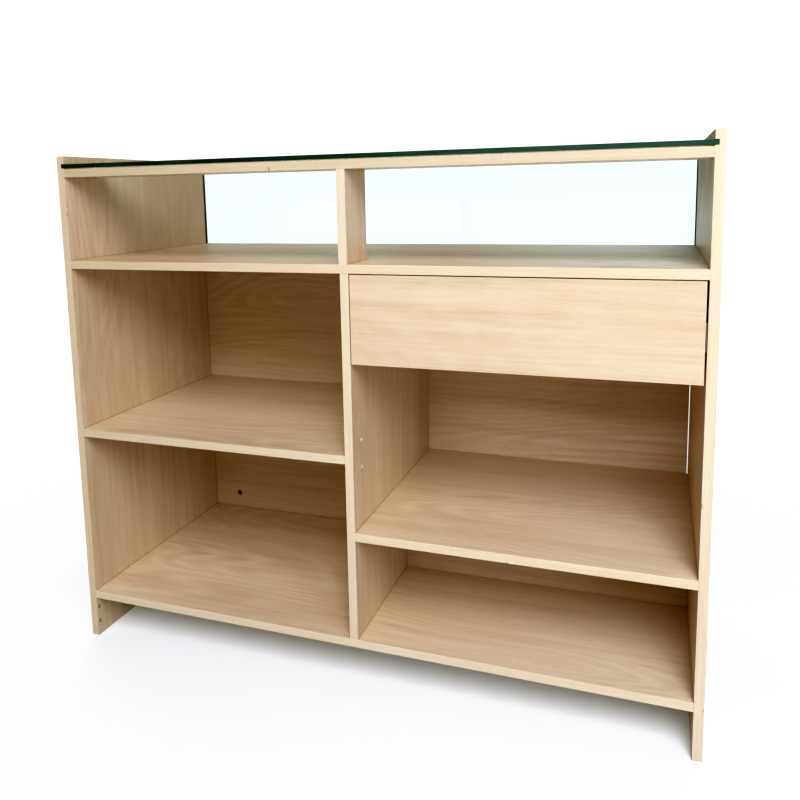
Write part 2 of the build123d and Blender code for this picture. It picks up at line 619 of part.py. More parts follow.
def turned_shape(profile, cross_z=0.0, cross_l=0.0, cross_h=0.0):
    """Solid turned from (radius, z) points, with a cross recess if cross_l is set."""
    with BuildPart(mode=Mode.PRIVATE) as shape:
        with BuildSketch(Plane.XZ):
            with BuildLine():
                Polyline(*profile, close=True)
            make_face()
        revolve(axis=Axis.Z)
        if cross_l:
            with Locations((0, 0, cross_z)):
                cut_cross(cross_l, 0.9, cross_h)
    return shape.part


def write_copies(label, placed_shapes):
    """One part from (shape, plane) pairs."""
    with BuildPart() as copies:
        for shape, plane in placed_shapes:
            with Locations(plane):
                add(shape)
    write(copies, label)


# Cam: slotted disc that hooks the bolt's head, with a cross in its face.
with BuildPart() as cam_locks:
    for holder, panel, mouth, out, bolt, reach in cam_joints:
        with Locations(Plane(origin=shifted(mouth, out, -CAM_SUNK), x_dir=bolt, z_dir=out)):
            Cylinder(CAM_R - HEAD_FIT, CAM_DEPTH - CAM_SUNK - CAM_END_GAP,
                     align=(Align.CENTER, Align.CENTER, Align.MAX))
            with Locations((0, 0, -(T / 2 - CAM_SUNK))):
                Box(CAM_SLOT_L, CAM_SLOT_W, CAM_SLOT_W,
                    align=(Align.MIN, Align.CENTER, Align.CENTER), mode=Mode.SUBTRACT)
                Cylinder(CAM_SLOT_W / 2, CAM_SLOT_W, mode=Mode.SUBTRACT)
            cut_cross(7.0, 1.4, 3.2)
write(cam_locks, "cam_locks")

# Bolt: head and neck inside the cam, shank in the board, thread in the panel.
bolt_shapes = {
    reach: turned_shape((
        (0, -reach + 0.5), (2.4, -reach + 0.5), (3.3, -reach + 1.2), (3.3, -reach + 2.6),
        (2.0, -reach + 3.6), (2.0, -reach + 8.0), (3.5, -reach + 9.5), (3.5, 0),
        (BOLT_THREAD_R, 0), (BOLT_THREAD_R, BOLT_THREAD_L - 1.0),
        (BOLT_THREAD_R - 1.0, BOLT_THREAD_L), (0, BOLT_THREAD_L)))
    for reach in (CAM_REACH, CAM_REACH_BACK)
}
write_copies("cam_bolts", [
    (bolt_shapes[reach], Plane(origin=joint_point(mouth, out, bolt, reach), z_dir=bolt))
    for holder, panel, mouth, out, bolt, reach in cam_joints])

with BuildPart(mode=Mode.PRIVATE) as dowel_shape:
    with Locations((0, 0, -DOWEL_IN_BOARD)):
        Cylinder(DOWEL_R - FIT, DOWEL_IN_BOARD + DOWEL_IN_PANEL,
                 align=(Align.CENTER, Align.CENTER, Align.MIN))
    chamfer(dowel_shape.edges().filter_by(GeomType.CIRCLE), DOWEL_BEVEL)
write_copies("wooden_dowels", [(dowel_shape.part, Plane(origin=point, z_dir=way))
                               for holder, panel, point, way in dowel_joints])

# Confirmat screws rise through the bottom shelf into the divider.
CONFIRMAT_L = T + CONFIRMAT_THREAD_L
with BuildPart(mode=Mode.PRIVATE) as confirmat_shape:
    with BuildSketch(Plane.XZ):
        with BuildLine():
            Polyline((0, 0), (CONFIRMAT_HEAD_R, 0), (CONFIRMAT_SHANK_R, 1.3),
                     (CONFIRMAT_SHANK_R, T - 1.2), (CONFIRMAT_THREAD_R, T - 0.2),
                     (CONFIRMAT_THREAD_R, CONFIRMAT_L - 2), (0.8, CONFIRMAT_L),
                     (0, CONFIRMAT_L), close=True)
        make_face()
    revolve(axis=Axis.Z)
    with BuildSketch(Plane.XY):
        RegularPolygon(2.3, 6)
    extrude(amount=3.0, mode=Mode.SUBTRACT)
write_copies("divider_screws", [
    (confirmat_shape.part, Plane(origin=shifted(point, DOWN, T), z_dir=UP))
    for point in DIVIDER_SCREW_POINTS])

# Runner screws: flat heads in the cabinet members, domed heads in the drawer members.
flat_screw = turned_shape(
    ((0, -FLAT_HEAD_H), (SCREW_HEAD_R, -FLAT_HEAD_H), (SCREW_HEAD_R, -0.1), (SCREW_R, 0.0),
     (SCREW_R, FLAT_SCREW_L - 1.5), (0, FLAT_SCREW_L)),
    cross_z=-FLAT_HEAD_H, cross_l=4.4, cross_h=1.4)
write_copies("runner_screws_carcass", [
    (flat_screw, Plane(origin=(x_wall, y, RUNNER_Z), z_dir=(-inward, 0, 0)))
    for side, x_wall, inward in RUNNER_SIDES for y in CARCASS_SCREW_Y])

dome_screw = turned_shape(
    ((0, -DOME_HEAD_H), (1.8, -3.0), (3.1, -2.3), (SCREW_HEAD_R, -1.25), (SCREW_R, -1.25),
     (SCREW_R, DOME_SCREW_L - 1.5), (0, DOME_SCREW_L)),
    cross_z=-DOME_HEAD_H, cross_l=3.6, cross_h=2.2)
write_copies("runner_screws_drawer", [
    (dome_screw, Plane(origin=(x_out, y, RUNNER_Z), z_dir=(inward, 0, 0)))
    for side, x_out, inward in BOX_SIDES for y in DRAWER_SCREW_Y])

# Countersunk screws hold the box together and the drawer front to the box.
COUNTERSUNK_HEAD = ((0, 0), (BOX_SCREW_HEAD_R, 0), (BOX_SCREW_R, 1.8))
box_screw = turned_shape(
    (*COUNTERSUNK_HEAD, (BOX_SCREW_R, BOX_SCREW_L - 2.0), (0, BOX_SCREW_L)),
    cross_l=4.6, cross_h=3.2)
write_copies("drawer_box_screws", [
    (box_screw, Plane(origin=(x_out, y, z), z_dir=(inward, 0, 0)))
    for side, x_out, inward in BOX_SIDES for y in BOX_SCREW_Y for z in BOX_SCREW_Z])

front_screw = turned_shape(
    (*COUNTERSUNK_HEAD, (BOX_SCREW_R, BOX_T - 0.3), (SCREW_R, BOX_T - 0.05),
     (SCREW_R, FRONT_SCREW_L - 1.5), (0, FRONT_SCREW_L)),
    cross_l=4.6, cross_h=3.2)
write_copies("drawer_front_screws", [
    (front_screw, Plane(origin=(x, BY0 + BOX_T, z), z_dir=TO_STAFF)) for x, z in FRONT_SCREWS])

# Small domed plugs close two spare holes in the divider.
with BuildPart() as hole_plugs:
    with Locations(*planes_at(PLUG_POINTS, RIGHT)):
        Cylinder(PLUG_R, PLUG_L, align=(Align.CENTER, Align.CENTER, Align.MAX))
        Cylinder(PLUG_CAP_R, PLUG_CAP_H, align=(Align.CENTER, Align.CENTER, Align.MIN))
    fillet(hole_plugs.edges().filter_by(GeomType.CIRCLE).filter_by(
        lambda edge: abs(edge.center().X - XDR - PLUG_CAP_H) < 1e-3), PLUG_CAP_ROUND)
write(hole_plugs, "hole_plugs")
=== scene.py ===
"""A shop counter of maple-print melamine board with a glass top, a glass pane and a drawer.

It stands on z = 0 with its length along X and its middle at the origin. The staff
side looks towards -Y and the customer side towards +Y; left is -X. The pieces come from
the CAD file; this script gives them materials and adds a floor, lights and a camera.
"""

import math
from functools import cached_property

import bmesh
import bpy
from mathutils import Matrix, Vector


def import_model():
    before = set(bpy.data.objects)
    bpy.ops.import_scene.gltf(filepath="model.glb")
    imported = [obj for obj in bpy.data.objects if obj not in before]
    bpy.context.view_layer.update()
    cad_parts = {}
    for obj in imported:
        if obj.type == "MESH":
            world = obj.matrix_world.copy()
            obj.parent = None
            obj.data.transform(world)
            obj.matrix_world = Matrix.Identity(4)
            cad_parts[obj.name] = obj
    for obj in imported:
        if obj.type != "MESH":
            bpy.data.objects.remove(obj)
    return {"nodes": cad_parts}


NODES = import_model()["nodes"]
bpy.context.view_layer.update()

X, Y, Z = 0, 1, 2
HALF_WIDTH, HALF_DEPTH = 0.60, 0.25


# ------------------------------------------------------------------ node tools
class Wire:
    """A node's output. + and * make math nodes, with the operands in the order written."""

    def __init__(self, net, socket):
        self.net = net
        self.socket = socket

    def __add__(self, other):
        return self.net.math("ADD", self, other)

    def __radd__(self, other):
        return self.net.math("ADD", other, self)

    def __sub__(self, number):
        return self + -number

    def __mul__(self, other):
        return self.net.math("MULTIPLY", self, other)

    def above(self, limit):
        return self.net.math("GREATER_THAN", self, limit)

    def below(self, limit):
        return self.net.math("LESS_THAN", self, limit)

    def swing(self, amount):
        """A 0 to 1 signal turned into one that swings about 0, amount wide."""
        return (self - 0.5) * amount

    def remap(self, source, to, kind="LINEAR"):
        return self.net.node("ShaderNodeMapRange", {
            "Value": self, "From Min": source[0], "From Max": source[1],
            "To Min": to[0], "To Max": to[1]}, out="Result", interpolation_type=kind)

    def step(self, lo, hi):
        """Smooth step from 0 at lo to 1 at hi; lo may be the larger."""
        return self.remap((lo, hi), (0.0, 1.0), "SMOOTHSTEP")


class Net:
    """The node tree of a material or world, with short calls for the nodes used here."""

    def __init__(self, owner, output="ShaderNodeOutputMaterial"):
        owner.use_nodes = True
        self.owner = owner
        self.tree = owner.node_tree
        self.tree.nodes.clear()
        self.output = self.tree.nodes.new(output)

    def put(self, socket, value):
        if isinstance(value, Wire):
            self.tree.links.new(value.socket, socket)
        elif socket.type == "RGBA" and len(value) == 3:
            socket.default_value = (*value, 1.0)
        else:
            socket.default_value = value

    def node(self, kind, ins=None, out=0, **props):
        """Makes a node and returns the wire of its output out, or a list if out is a tuple."""
        made = self.tree.nodes.new(kind)
        for key, value in props.items():
            setattr(made, key, value)
        for key, value in (ins or {}).items():
            self.put(made.inputs[key], value)
        if isinstance(out, tuple):
            return [Wire(self, made.outputs[key]) for key in out]
        return Wire(self, made.outputs[out])

    def math(self, operation, a, b=None):
        ins = {0: a} if b is None else {0: a, 1: b}
        return self.node("ShaderNodeMath", ins, operation=operation)

    def mix(self, share, a, b, mode="MIX"):
        return self.node("ShaderNodeMix", {0: share, 6: a, 7: b}, out=2,
                         data_type="RGBA", blend_type=mode)

    def tint(self, colour, factor):
        return self.mix(1.0, colour, factor, "MULTIPLY")

    @cached_property
    def coord(self):
        return self.node("ShaderNodeTexCoord", out="Object")

    def split(self, vector):
        return self.node("ShaderNodeSeparateXYZ", {0: vector}, out=(0, 1, 2))

    def join(self, x, y, z):
        return self.node("ShaderNodeCombineXYZ", {0: x, 1: y, 2: z})

    def scaled(self, vector, scale, offset=(0, 0, 0)):
        return self.node("ShaderNodeVectorMath", {0: vector, 1: scale, 2: offset},
                         operation="MULTIPLY_ADD")

    def noise(self, vector, scale, detail=2.0, rough=0.5, offset=(0, 0, 0), distort=0.0):
        """Noise with scale cycles per metre: one number, or one for each axis."""
        if not isinstance(scale, tuple):
            scale = (scale,) * 3
        return self.node("ShaderNodeTexNoise", {
            "Vector": self.scaled(vector, scale, offset), "Scale": 1.0, "Detail": detail,
            "Roughness": rough, "Distortion": distort}, noise_dimensions="3D")

    def cells(self, vector, scale):
        """Voronoi cells: distance from the cell's centre, and its random colour."""
        return self.node("ShaderNodeTexVoronoi", {"Vector": vector, "Scale": scale},
                         out=("Distance", "Color"))

    def ramp(self, share, *stops):
        colour = self.node("ShaderNodeValToRGB", {"Fac": share})
        elements = colour.socket.node.color_ramp.elements
        while len(elements) < len(stops):
            elements.new(0.5)
        for element, (position, rgb) in zip(elements, stops):
            element.position = position
            element.color = (*rgb, 1.0)
        return colour

    def bump(self, height, distance, strength):
        return self.node("ShaderNodeBump", {
            "Strength": strength, "Distance": distance, "Height": height})

    def occlusion(self, distance, only_local=False):
        return self.node("ShaderNodeAmbientOcclusion", {"Distance": distance}, out="AO",
                         samples=4, only_local=only_local)

    def facing(self, axis):
        """How squarely the face looks along the axis, 0 to 1. Pieces have no rotation."""
        normal = self.node("ShaderNodeNewGeometry", out="True Normal")
        return self.math("ABSOLUTE", self.split(normal)[axis])

    def edge(self, radius):
        """1 on corners about radius wide, 0 on flat faces."""
        rounded = self.node("ShaderNodeBevel", {"Radius": radius}, samples=4)
        normal = self.node("ShaderNodeNewGeometry", out="Normal")
        agreement = self.node("ShaderNodeVectorMath", {0: rounded, 1: normal}, out="Value",
                              operation="DOT_PRODUCT")
        return agreement.step(lo=0.995, hi=0.93)

    def spot(self, place, radius, stretch):
        """1 inside a ragged spot, 0 outside. stretch above 1 makes it narrower on that axis."""
        wobble = self.noise(self.coord, scale=0.9 / radius, rough=0.6)
        offsets = [(c - at) * k for c, at, k in zip(self.split(self.coord), place, stretch)]
        dx, dy, dz = [offset * offset for offset in offsets]
        distance = self.math("SQRT", dx + dy + dz) + wobble.swing(radius * 0.8)
        return distance.step(lo=radius * 1.1, hi=radius * 0.75)

    def marked(self, colour, marks):
        """The colour with spots on it, one for each row of a mark table."""
        for place, radius, stretch, rgb, strength in marks:
            colour = self.mix(self.spot(place, radius, stretch) * strength, colour, rgb)
        return colour

    def principled(self, **ins):
        named = {key.replace("_", " "): value for key, value in ins.items()}
        return self.node("ShaderNodeBsdfPrincipled", named)

    def mix_shader(self, share, a, b):
        return self.node("ShaderNodeMixShader", {0: share, 1: a, 2: b})

    def surface(self, shader, bounce=None):
        """bounce is the plain colour diffuse rays meet in place of the full shader."""
        if bounce is not None:
            plain = self.node("ShaderNodeBsdfDiffuse", {0: bounce})
            is_bounce = self.node("ShaderNodeLightPath", out="Is Diffuse Ray")
            shader = self.mix_shader(is_bounce, shader, plain)
        self.put(self.output.inputs["Surface"], shader)
        return self.owner


def material_net(name):
    return Net(bpy.data.materials.new(name))


def assign(material, *names):
    for name in names:
        mesh = NODES[name].data
        mesh.materials.clear()
        mesh.materials.append(material)


# --------------------------------------------------------------- melamine board
# Decor colours: dark, middle and light.
CARCASS_TONES = ((0.587, 0.440, 0.299), (0.669, 0.533, 0.390), (0.732, 0.606, 0.464))
FRONT_TONES = ((0.560, 0.413, 0.271), (0.636, 0.500, 0.353), (0.698, 0.571, 0.424))
BOX_TONES = ((0.630, 0.480, 0.340), (0.695, 0.560, 0.420), (0.735, 0.610, 0.470))
CRUMB, STAIN = (0.90, 0.84, 0.72), (0.24, 0.15, 0.08)

BOARDS = {
    # node: (grain axis, thickness axis, seed, figure strength, share of cells with dust)
    "side_panel_left": (Z, X, 1.3, 0.8, 0.0),
    "side_panel_right": (Z, X, 2.9, 0.8, 0.0),
    "centre_divider": (Z, X, 4.4, 0.8, 0.0),
    "display_post": (Z, X, 5.2, 0.6, 0.0),
    "bottom_shelf": (X, Z, 6.1, 1.0, 0.16),
    "display_shelf": (X, Z, 7.7, 1.0, 0.06),
    "mid_shelf_left": (X, Z, 8.3, 1.0, 0.08),
    "mid_shelf_right": (X, Z, 9.6, 1.0, 0.10),
    "top_front_rail": (X, Z, 10.4, 0.8, 0.0),
    "back_panel": (X, Y, 11.8, 1.0, 0.0),
    "false_back_right": (X, Y, 12.5, 1.0, 0.0),
    "customer_kickboard": (X, Y, 13.1, 1.0, 0.0),
    "drawer_front": (X, Y, 14.9, 1.90, 0.0),
}
BOX_BOARDS = {
    # node: (grain axis, thickness axis, seed)
    "drawer_side_left": (Y, X, 21.0),
    "drawer_side_right": (Y, X, 22.4),
    "drawer_box_front": (X, Y, 23.3),
    "drawer_back": (X, Y, 24.8),
}
# Boards whose edges along Y show the decor instead of the core.
LIPPED = {"side_panel_left", "side_panel_right", "display_shelf", "bottom_shelf",
          "top_front_rail"}
BOARD_MARKS = {
    # node: rows of (place, radius, stretch, colour, strength)
    "bottom_shelf": (
        ((-0.5655, 0.1975, 0.100), 0.0034, (0.9, 1.0, 1.0), CRUMB, 0.85),
        ((-0.5690, 0.2080, 0.100), 0.0045, (0.8, 1.3, 1.0), STAIN, 0.55),
        ((-0.4920, 0.1070, 0.100), 0.0024, (1.0, 1.0, 1.0), CRUMB, 0.9),
        ((-0.4880, 0.1010, 0.100), 0.0013, (1.0, 1.0, 1.0), CRUMB, 0.7),
        ((-0.4750, 0.1650, 0.100), 0.0011, (1.0, 1.0, 1.0), CRUMB, 0.5)),
    "side_panel_right": (
        ((0.584, 0.050, 0.925), 0.0060, (1.0, 2.2, 1.2), CRUMB, 0.5),),
}
# colour layers on the boards: dirt, and painted light where noted
BOARD_DIRT_AND_PAINTED_LIGHT = {
    # node: layers of (axis, where it starts, where it is full, lowest z, colour,
    #                  strength, share in wiped streaks)
    "side_panel_right": (
        # grey and pale wiped stains
        (Y, -0.249, -0.180, 0.790, (0.270, 0.250, 0.210), 0.46, 0.90),
        (Y, -0.249, -0.160, 0.790, (0.800, 0.775, 0.715), 0.42, 1.00)),
    "display_shelf": (
        # darker and warmer towards the left end
        (X, 0.35, -0.35, 0.790, (0.440, 0.225, 0.110), 0.36, 0.10),
        # painted sheen: paler and greyer towards the right end
        (X, 0.10, 0.46, 0.790, (0.820, 0.800, 0.750), 0.66, 0.15),
        # grey wiped streaks of dirt towards the right end
        (X, 0.22, 0.50, 0.790, (0.330, 0.310, 0.260), 0.42, 1.00)),
    "side_panel_left": (
        # darker and warmer towards the customer side, above the display shelf
        (Y, -0.16, 0.20, 0.790, (0.360, 0.290, 0.200), 0.24, 0.60),
        (Y, -0.15, 0.12, 0.790, (0.520, 0.270, 0.135), 0.30, 0.10)),
    "bottom_shelf": (
        # painted light: paler and less saturated towards the right end
        (X, 0.00, 0.55, 0.090, (0.860, 0.820, 0.760), 0.26, 0.22),),
    "mid_shelf_right": (
        # painted light: paler and less saturated towards the right end
        (X, 0.05, 0.60, 0.290, (0.860, 0.820, 0.760), 0.22, 0.22),),
}
LAYER_HALF_WIDTH = 0.592  # the layers stay this near the middle in X
LAYER_RISE = 0.006  # height over which a layer fades in above its lowest z
WIPES = {
    # axis of the layer: (scale of its wiped streaks, their distortion)
    X: ((10.0, 30.0, 9.0), 1.4),
    Y: ((10.0, 17.0, 4.5), 0.7),
}


def grain_tone(net, place):
    """Meant for the layers of the printed maple; place, grain along x and across in y, is not
    used.

    The body is empty: it computes nothing and returns None.
    """


def maple(net, place, figure):
    """Printed maple; place runs along the grain in x, across it in y.

    Returns the tone, 0 dark to 1 light, and the fibre height.
    """
    x, y, z = net.split(place)
    warp = net.noise(place, scale=(1.3, 7.0, 6.0))
    bent = net.join(x, y + warp.swing(0.040), z)
    # long nested arches, as a flat-sawn board shows, over calmer straight grain
    field = net.noise(bent, scale=(1.5, 7.0, 3.0), detail=0.6, rough=0.35)
    rings = net.math("SINE", field * 118.0 + warp * 7.0).remap((-1.0, 1.0), to=(0.0, 1.0))
    broken = net.noise(bent, scale=(5.0, 60.0, 20.0), rough=0.6, offset=(2.0, 0.0, 4.0))
    broken = broken.step(lo=0.36, hi=0.62)
    calm = net.noise(bent, scale=(0.9, 4.0, 3.0), detail=1.0, offset=(7.3, 1.1, 2.0))
    lively = calm.step(lo=0.40, hi=0.62)
    arches = (net.math("POWER", rings, 1.8) - 0.40) * (0.40 + broken * 0.60) * 0.50
    arches = arches * (0.15 + lively * 0.85)
    band = net.noise(bent, scale=(1.0, 11.0, 4.0), offset=(3.1, 5.7, 0.0))
    streak = net.noise(bent, scale=(2.0, 58.0, 20.0), rough=0.6)
    dash = net.noise(bent, scale=(4.5, 190.0, 30.0), rough=0.6, offset=(1.7, 0.0, 0.6))
    fibre = net.noise(bent, scale=(30.0, 760.0, 60.0), rough=0.6)
    fleck = net.noise(bent, scale=(95.0, 620.0, 40.0), detail=1.0, rough=0.4,
                      offset=(0.0, 3.3, 9.1)).step(lo=0.58, hi=0.72)
    tone = (0.53 + arches * figure + streak.swing(1.00) + band.swing(0.95)
            + dash.swing(0.95) + fibre.swing(0.85) + fleck * -0.20)
    return tone, fibre * 0.7 + fleck * -0.6


def chip_core(net):
    """Raw chipboard as a saw leaves it: pressed flakes of several tones."""
    _, small = net.cells(net.scaled(net.coord, (1.0, 1.0, 1.6)), scale=420.0)
    _, large = net.cells(net.scaled(net.coord, (1.0, 1.0, 2.2)), scale=170.0)
    flakes = net.split(small)[0] * 0.6 + net.split(large)[1] * 0.4
    colour = net.ramp(flakes, (0.0, (0.15, 0.085, 0.040)), (0.35, (0.30, 0.19, 0.10)),
                      (0.7, (0.46, 0.32, 0.18)), (1.0, (0.60, 0.46, 0.29)))
    return net.principled(Base_Color=colour, Roughness=0.93, IOR=1.45, Specular_IOR_Level=0.25,
                          Normal=net.bump(flakes, distance=0.0006, strength=0.9))


def dusted(net, colour, dust, seed):
    """Pale specks in a share of the cells."""
    shifted = net.scaled(net.coord, (1, 1, 1), (seed * 0.37, 0.1, 0.2))
    distance, random = net.cells(shifted, scale=26.0)
    speck = distance.below(0.030) * net.split(random)[0].above(1.0 - dust)
    return net.mix(speck, colour, (0.93, 0.88, 0.80))


def with_dirt_and_painted_light(net, colour, xyz, dirt_and_light_layers):
    """Layers over one end of a board, even and in wiped streaks: dirt, painted light and tone
    shifts.
    """
    for layer, (axis, start, full, lowest, rgb, strength, wiped) in enumerate(dirt_and_light_layers):
        cover = xyz[axis].step(start, full) * xyz[Z].step(lowest, lowest + LAYER_RISE)
        cover = cover * net.math("ABSOLUTE", xyz[X]).below(LAYER_HALF_WIDTH)
        scale, distort = WIPES[axis]
        wipes = net.noise(net.coord, scale, detail=4.0, rough=0.62,
                          offset=(0.3 + layer * 2.7, 0.2, 0.5), distort=distort)
        blot = wipes.step(lo=0.46, hi=0.66)
        share = cover * (strength * (1.0 - wiped) + blot * (strength * wiped))
        colour = net.mix(share, colour, rgb)
    return colour


def board(node, grain, thick, seed, figure, dust=0.0, tones=CARCASS_TONES, rough=0.40):
    """Melamine board; cut faces without edging show the chipboard core."""
    net = material_net("melamine_" + node)
    xyz = net.split(net.coord)
    cross = X + Y + Z - grain - thick
    # each board takes its own part of the pattern
    place = net.join(xyz[grain] + seed * 1.371, xyz[cross] + seed * 0.617,
                     xyz[thick] * 0.25 + seed * 2.113)
    tone, height = maple(net, place, figure)
    dark, middle, light = tones
    colour = net.ramp(tone, (0.0, dark), (0.5, middle), (1.0, light))
    # slow colour drift of the decor paper, scuffs and fine scratches
    drift = net.noise(place, scale=(1.3, 2.2, 2.0), offset=(4.0, 2.0, 8.0))
    colour = net.mix(drift.remap((0.35, 0.65), to=(0.0, 0.25)), colour,
                     net.tint(colour, (0.90, 0.93, 0.97)))
    wear = net.noise(net.coord, scale=5.0, detail=4.0, rough=0.6, offset=(seed, 0, 0))
    scuff = wear.step(lo=0.52, hi=0.72)
    lines = net.noise(place, scale=(420.0, 9.0, 30.0), offset=(1.0, 4.0, 2.0), distort=0.6)
    scratch = lines.step(lo=0.735, hi=0.78) * wear.step(lo=0.50, hi=0.60)
    colour = net.mix(scratch * 0.20, colour, (0.93, 0.82, 0.66))
    # painted shade and dirt where boards meet: darker within a few millimetres of another
    # board, found by ambient occlusion
    corner = net.occlusion(distance=0.0045).step(lo=0.90, hi=0.42)
    colour = net.mix(corner * 0.55, colour, net.tint(colour, (0.30, 0.22, 0.15)))
    if dust > 0:
        colour = dusted(net, colour, dust, seed)
    colour = net.marked(colour, BOARD_MARKS.get(node, ()))
    # dirt, and painted light on some boards
    colour = with_dirt_and_painted_light(net, colour, xyz, BOARD_DIRT_AND_PAINTED_LIGHT.get(node, ()))
    roughness = rough + (drift.swing(0.20) + (scuff * 0.10 + (height - 0.35) * 0.12))
    skin = net.noise(net.coord, scale=260.0, detail=1.0)
    normal = net.bump(height + skin * 0.35, distance=0.00010, strength=0.55)
    decor = net.principled(Base_Color=colour, Roughness=roughness, Normal=normal, IOR=1.50,
                           Coat_Weight=0.10, Coat_Roughness=0.35)
    core = chip_core(net)
    is_decor = net.facing(thick).above(0.6)
    if node in LIPPED:
        is_decor = net.math("MAXIMUM", is_decor, net.facing(Y).above(0.9))
    return net.surface(net.mix_shader(is_decor, core, decor), middle)


for node, row in BOARDS.items():
    tones = FRONT_TONES if node == "drawer_front" else CARCASS_TONES
    assign(board(node, *row, tones=tones), node)
for node, row in BOX_BOARDS.items():
    assign(board(node, *row, figure=0.7, tones=BOX_TONES, rough=0.46), node)


# --------------------------------------------------------------------- edging
EDGINGS = (
    # node, axis it runs along, brightness, share of the darkening towards the left end
    ("edging_bottom_shelf", X, 1.0, 0.4),
    ("edging_display_shelf", X, 0.97, 1.0),
    ("edging_mid_shelf_left", X, 1.0, 1.0),
    ("edging_mid_shelf_right", X, 1.03, 1.0),
    # the top rail's lower brightness is painted shade from the glass edge above it
    ("edging_top_rail", X, 0.90, 1.0),
    ("edging_divider", Z, 1.0, 1.0),
    ("edging_display_post", Z, 1.0, 1.0),
    ("edging_side_left", Z, 1.0, 1.0),
    ("edging_side_right", Z, 1.0, 1.0),
    ("edging_drawer_front", X, 0.95, 1.0),
)
STAFF_Y = -HALF_DEPTH
RED_BROWN, BROWN = (0.30, 0.15, 0.09), (0.36, 0.25, 0.15)
EDGE_MARKS = {
    # node: rows of (place, radius, stretch, colour, strength)
    "edging_top_rail": (
        ((-0.137, STAFF_Y, 0.9620), 0.0022, (1.6, 1.0, 0.6), RED_BROWN, 0.85),
        ((-0.1385, STAFF_Y, 0.9655), 0.0010, (1.0, 1.0, 0.6), RED_BROWN, 0.5),
        ((0.262, STAFF_Y, 0.9660), 0.0012, (0.6, 1.0, 1.3), (0.42, 0.30, 0.18), 0.5)),
    "edging_mid_shelf_right": (
        ((0.292, STAFF_Y, 0.2925), 0.0030, (0.7, 1.0, 1.5), (0.86, 0.80, 0.70), 0.9),
        ((0.284, STAFF_Y, 0.2922), 0.0018, (0.7, 1.0, 1.2), (0.34, 0.22, 0.12), 0.8)),
    "edging_side_left": (
        ((-0.5842, STAFF_Y, 0.8880), 0.0026, (1.4, 1.0, 0.7), (0.24, 0.16, 0.10), 0.7),
        ((-0.5842, STAFF_Y, 0.9050), 0.0014, (1.2, 1.0, 0.35), BROWN, 0.5),
        ((-0.5990, STAFF_Y, 0.7000), 0.0018, (1.0, 1.0, 0.5), BROWN, 0.7)),
    "edging_side_right": (
        ((0.5850, STAFF_Y, 0.4300), 0.0018, (1.2, 1.0, 0.4), BROWN, 0.7),
        ((0.5995, STAFF_Y, 0.0900), 0.0022, (1.2, 1.0, 0.6), (0.40, 0.29, 0.18), 0.7)),
}


def other_axes(axis):
    return [other for other in (X, Y, Z) if other != axis]


def edging(node, run, gain, left_darkening_share, seed):
    """Plastic strip, paler than the boards: grain along its run, grimy corners, nicks."""
    net = material_net(node)
    xyz = net.split(net.coord)
    second, third = other_axes(run)
    place = net.join(xyz[run] + seed, xyz[second] + seed * 0.7, xyz[third])
    streak = net.noise(place, scale=(5.0, 240.0, 240.0), detail=3.0, rough=0.6)
    band = net.noise(place, scale=(2.0, 30.0, 30.0))
    fibre = net.noise(place, scale=(40.0, 1300.0, 1300.0), detail=1.0)
    tone = 0.5 + streak.swing(1.3) + (band.swing(0.7) + fibre.swing(0.9))
    colour = net.ramp(tone, (0.0, (0.630, 0.512, 0.377)), (0.5, (0.692, 0.580, 0.440)),
                      (1.0, (0.748, 0.645, 0.505)))
    # brightness of each strip; on the top rail it is painted shade
    if gain != 1.0:
        colour = net.tint(colour, (gain, gain * 0.985, gain * 0.96))
    # the strips are darker and warmer towards the left end
    left_darkening = xyz[X].step(lo=0.15, hi=-0.62) * left_darkening_share
    colour = net.mix(left_darkening, colour, net.tint(colour, (0.86, 0.84, 0.80)))
    corner = net.edge(radius=0.0009)
    rub = net.noise(net.coord, scale=38.0, detail=3.0, rough=0.6, offset=(seed, 0, 0))
    grime = corner * rub.step(lo=0.50, hi=0.70)
    colour = net.mix(grime * 0.45, colour, (0.36, 0.26, 0.16))
    # a ragged nick in a few of the cells
    shifted = net.scaled(net.coord, (1.0, 1.0, 1.0), (seed * 0.31, 0.4, 0.2))
    distance, random = net.cells(shifted, scale=15.0)
    nick = (distance + rub.swing(0.10)).below(0.045) * net.split(random)[1].above(0.86)
    colour = net.mix(nick * 0.8, colour, (0.20, 0.13, 0.075))
    colour = net.marked(colour, EDGE_MARKS.get(node, ()))
    roughness = 0.34 + band.swing(0.2) + grime * 0.2
    normal = net.bump(fibre + nick * -6.0, distance=0.00008, strength=0.5)
    plastic = net.principled(Base_Color=colour, Roughness=roughness, Normal=normal, IOR=1.49)
    return net.surface(plastic, bounce=(0.690, 0.570, 0.440))


for i, (node, *row) in enumerate(EDGINGS):
    assign(edging(node, *row, seed=3.0 + 1.7 * i), node)


